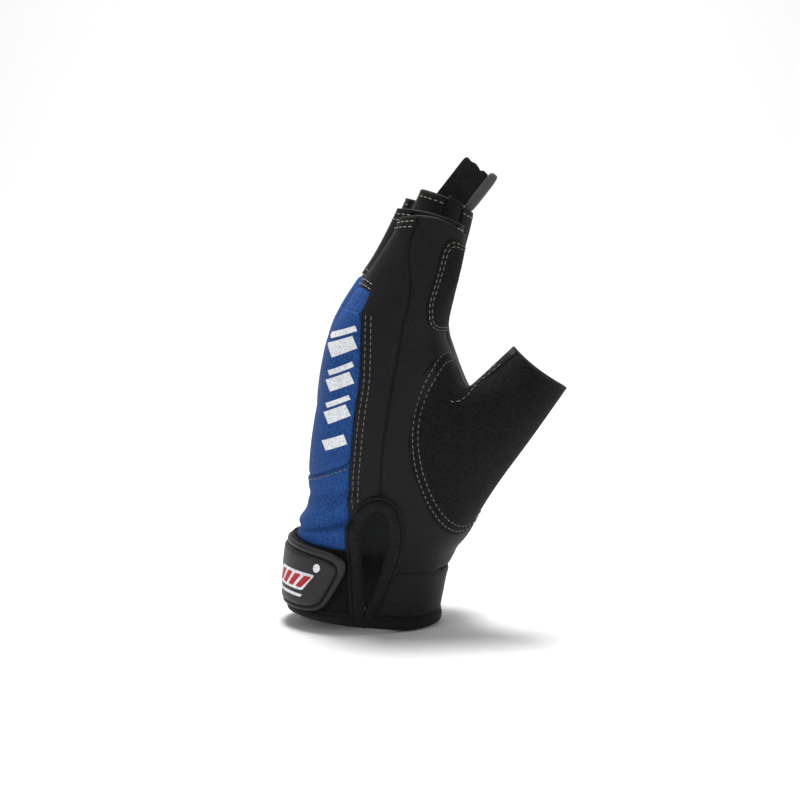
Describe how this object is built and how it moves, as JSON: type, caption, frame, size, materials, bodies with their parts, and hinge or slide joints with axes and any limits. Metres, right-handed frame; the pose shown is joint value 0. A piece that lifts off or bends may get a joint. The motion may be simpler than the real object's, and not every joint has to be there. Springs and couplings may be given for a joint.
{
  "type": "sailing glove",
  "caption": "Left-hand short-finger glove for handling ropes, with suede grip patches, a wrist vent, a wrap-over wrist strap and a pull-off tab.",
  "frame": {"origin": "centre of the footprint's bounding box, on the plane that the cuff stands on", "axes": "+Z from the cuff to the fingertips, +X out of the palm, -Y is the thumb side"},
  "size_m": [0.1212, 0.0872, 0.1948],
  "materials": {
    "black_stretch_cloth": "smooth knitted nylon",
    "blue_stretch_cloth": "heathered stretch knit",
    "black_suede": "fine synthetic suede",
    "loop_pile_webbing": "brushed loop pile",
    "hook_tape": "moulded hooks",
    "binding_tape": "folded knitted binding",
    "moulded_rubber": "matt moulded",
    "grey_rubber": "satin moulded",
    "white_print": "screen print"
  },
  "bodies": {
    "hand": {"back_panel_upper": "blue_stretch_cloth", "back_panel_lower": "blue_stretch_cloth", "thumb_side_gusset": "black_stretch_cloth", "thumb_side_palm": "black_stretch_cloth", "palm_panel": "black_stretch_cloth", "little_side_gusset": "black_stretch_cloth", "cuff_loop_band": "loop_pile_webbing", "cuff_palm_band": "black_stretch_cloth", "cuff_binding_palm": "binding_tape", "cuff_binding_back": "binding_tape", "vent_binding": "binding_tape", "inner_cuff_facing": "loop_pile_webbing", "thenar_patch": "black_suede", "palm_patch": "black_suede", "back_graphic": "white_print", "strap_anchor": "loop_pile_webbing"},
    "index": {"index_back": "black_stretch_cloth", "index_palm": "black_stretch_cloth", "index_near_wall": "black_stretch_cloth", "index_far_wall": "black_stretch_cloth", "index_pad": "black_suede"},
    "middle": {"middle_back": "black_stretch_cloth", "middle_palm": "black_stretch_cloth", "middle_near_wall": "black_stretch_cloth", "middle_far_wall": "black_stretch_cloth"},
    "ring": {"ring_back": "black_stretch_cloth", "ring_palm": "black_stretch_cloth", "ring_near_wall": "black_stretch_cloth", "ring_far_wall": "black_stretch_cloth"},
    "little": {"little_back": "black_stretch_cloth", "little_palm": "black_stretch_cloth", "little_near_wall": "black_stretch_cloth", "little_far_wall": "black_stretch_cloth"},
    "thumb": {"thumb_outer": "black_suede", "thumb_inner": "black_stretch_cloth", "thumb_hem": "binding_tape"},
    "strap": {"strap_root": "loop_pile_webbing"},
    "strap_tab": {"strap_web": "loop_pile_webbing", "hook_patch": "hook_tape", "rubber_tab_base": "moulded_rubber", "rubber_tab_face": "moulded_rubber", "tab_emblem": "white_print"},
    "pull_tab": {"pull_tab_strip": "black_suede", "pull_tab_grip": "grey_rubber"}
  },
  "joints": [
    {"name": "index_flex", "type": "hinge", "parent": "hand", "child": "index", "pos_m": [-0.013, -0.0308, 0.126], "axis": [0, 1, 0], "range_deg": [-8, 38], "stiffness_Nm_per_rad": 0.15},
    {"name": "middle_flex", "type": "hinge", "parent": "hand", "child": "middle", "pos_m": [-0.013, -0.0104, 0.126], "axis": [0, 1, 0], "range_deg": [-8, 38], "stiffness_Nm_per_rad": 0.15},
    {"name": "ring_flex", "type": "hinge", "parent": "hand", "child": "ring", "pos_m": [-0.013, 0.01, 0.126], "axis": [0, 1, 0], "range_deg": [-8, 52], "stiffness_Nm_per_rad": 0.15},
    {"name": "little_flex", "type": "hinge", "parent": "hand", "child": "little", "pos_m": [-0.013, 0.0298, 0.126], "axis": [0, 1, 0], "range_deg": [-8, 52], "stiffness_Nm_per_rad": 0.15},
    {"name": "thumb_swing", "type": "hinge", "parent": "hand", "child": "thumb", "pos_m": [0.012, -0.025, 0.064], "axis": [0, 1, 0], "range_deg": [-10, 12], "stiffness_Nm_per_rad": 0.3},
    {"name": "strap_open", "type": "hinge", "parent": "hand", "child": "strap", "pos_m": [-0.024, 0.0314, 0.0215], "axis": [0, 0, -1], "range_deg": [0, 70]},
    {"name": "tab_peel", "type": "hinge", "parent": "strap", "child": "strap_tab", "pos_m": [-0.0504, 0.0194, 0.0215], "axis": [0, 0, -1], "range_deg": [0, 75]},
    {"name": "pull_tab_bend", "type": "hinge", "parent": "ring", "child": "pull_tab", "pos_m": [0.00891, 0.0115, 0.17467], "axis": [0.788, 0, -0.6157], "range_deg": [-14, 14], "stiffness_Nm_per_rad": 0.01}
  ]
}
